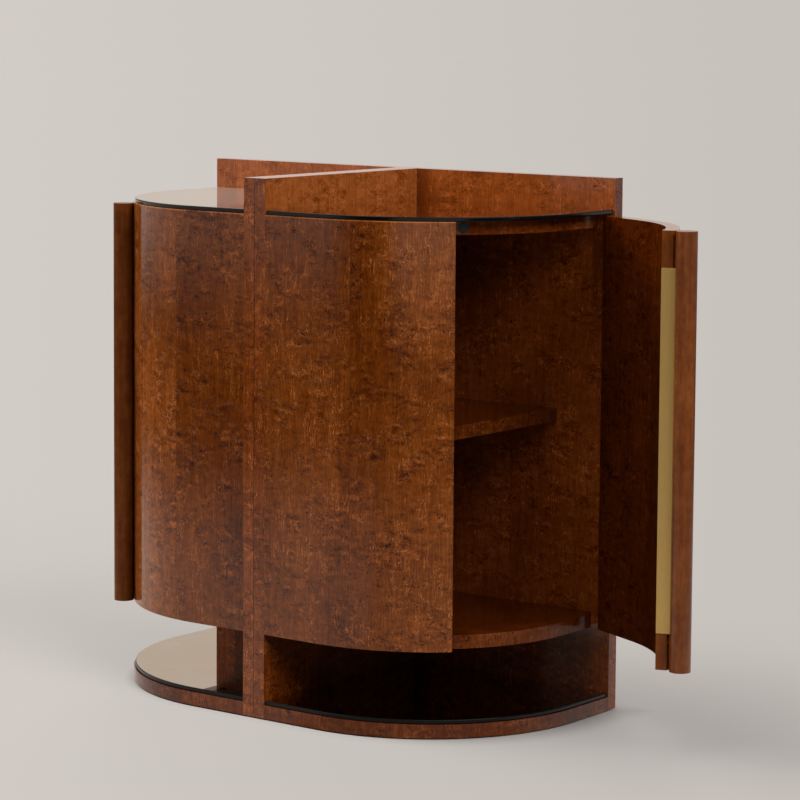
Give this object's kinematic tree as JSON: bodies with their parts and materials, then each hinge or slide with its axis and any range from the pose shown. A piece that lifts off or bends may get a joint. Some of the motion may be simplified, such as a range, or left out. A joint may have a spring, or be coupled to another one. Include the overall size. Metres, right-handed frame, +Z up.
{
  "type": "bar cabinet",
  "caption": "Veneered bar cabinet of two mirrored halves with curved hinged doors, round full-height bars, dark glass tops and an open niche over a glass-covered base.",
  "frame": {"origin": "On the floor, midway between the two halves, under the front face of the back panel: the middle of the central glide's underside.", "axes": "+X to the right, seen from the front; +Y to the back, square to the back panel; +Z up"},
  "size_m": [1.2944, 0.4825, 1],
  "materials": {
    "veneer": "satin lacquered burl veneer",
    "solid_wood": "satin lacquered solid wood",
    "dowel_wood": "plain beech",
    "dark_glass": "polished dark glass",
    "brass": "satin brass",
    "steel": "plain steel",
    "magnet": "black",
    "felt": "dense dark felt"
  },
  "bodies": {
    "cabinet": {"back_panel": "veneer", "left_divider_board": "veneer", "right_divider_board": "veneer", "divider_dowels": "dowel_wood", "back_dowels": "dowel_wood", "floor_glides": "felt", "left_base_board": "veneer", "right_base_board": "veneer", "left_base_glass": "dark_glass", "right_base_glass": "dark_glass", "left_bottom_board": "veneer", "right_bottom_board": "veneer", "left_top_board": "veneer", "right_top_board": "veneer", "left_top_glass": "dark_glass", "right_top_glass": "dark_glass", "left_front_panel": "veneer", "right_front_panel": "veneer", "left_board_dowels": "dowel_wood", "right_board_dowels": "dowel_wood", "left_panel_dowels": "dowel_wood", "right_panel_dowels": "dowel_wood", "left_shelf": "veneer", "right_shelf": "veneer", "left_shelf_pins": "brass", "right_shelf_pins": "brass", "left_catch_magnet": "magnet", "right_catch_magnet": "magnet", "left_hinge_body_leaves": "brass", "right_hinge_body_leaves": "brass", "left_hinge_pins": "brass", "right_hinge_pins": "brass", "left_hinge_body_screws": "brass", "right_hinge_body_screws": "brass"},
    "left_door": {"left_door_panel": "veneer", "left_door_bar": "solid_wood", "left_bar_dowels": "dowel_wood", "left_edge_plate": "brass", "left_catch_strike": "steel", "left_hinge_door_leaves": "brass", "left_hinge_door_screws": "brass"},
    "right_door": {"right_door_panel": "veneer", "right_door_bar": "solid_wood", "right_bar_dowels": "dowel_wood", "right_edge_plate": "brass", "right_catch_strike": "steel", "right_hinge_door_leaves": "brass", "right_hinge_door_screws": "brass"}
  },
  "joints": [
    {"name": "left_door_hinge", "type": "hinge", "parent": "cabinet", "child": "left_door", "pos_m": [-0.4858, -0.0015, 0.546], "axis": [0, 0, -1], "range_deg": [0, 110]},
    {"name": "right_door_hinge", "type": "hinge", "parent": "cabinet", "child": "right_door", "pos_m": [0.4858, -0.0015, 0.546], "axis": [0, 0, 1], "range_deg": [-65.2, 44.8]}
  ]
}
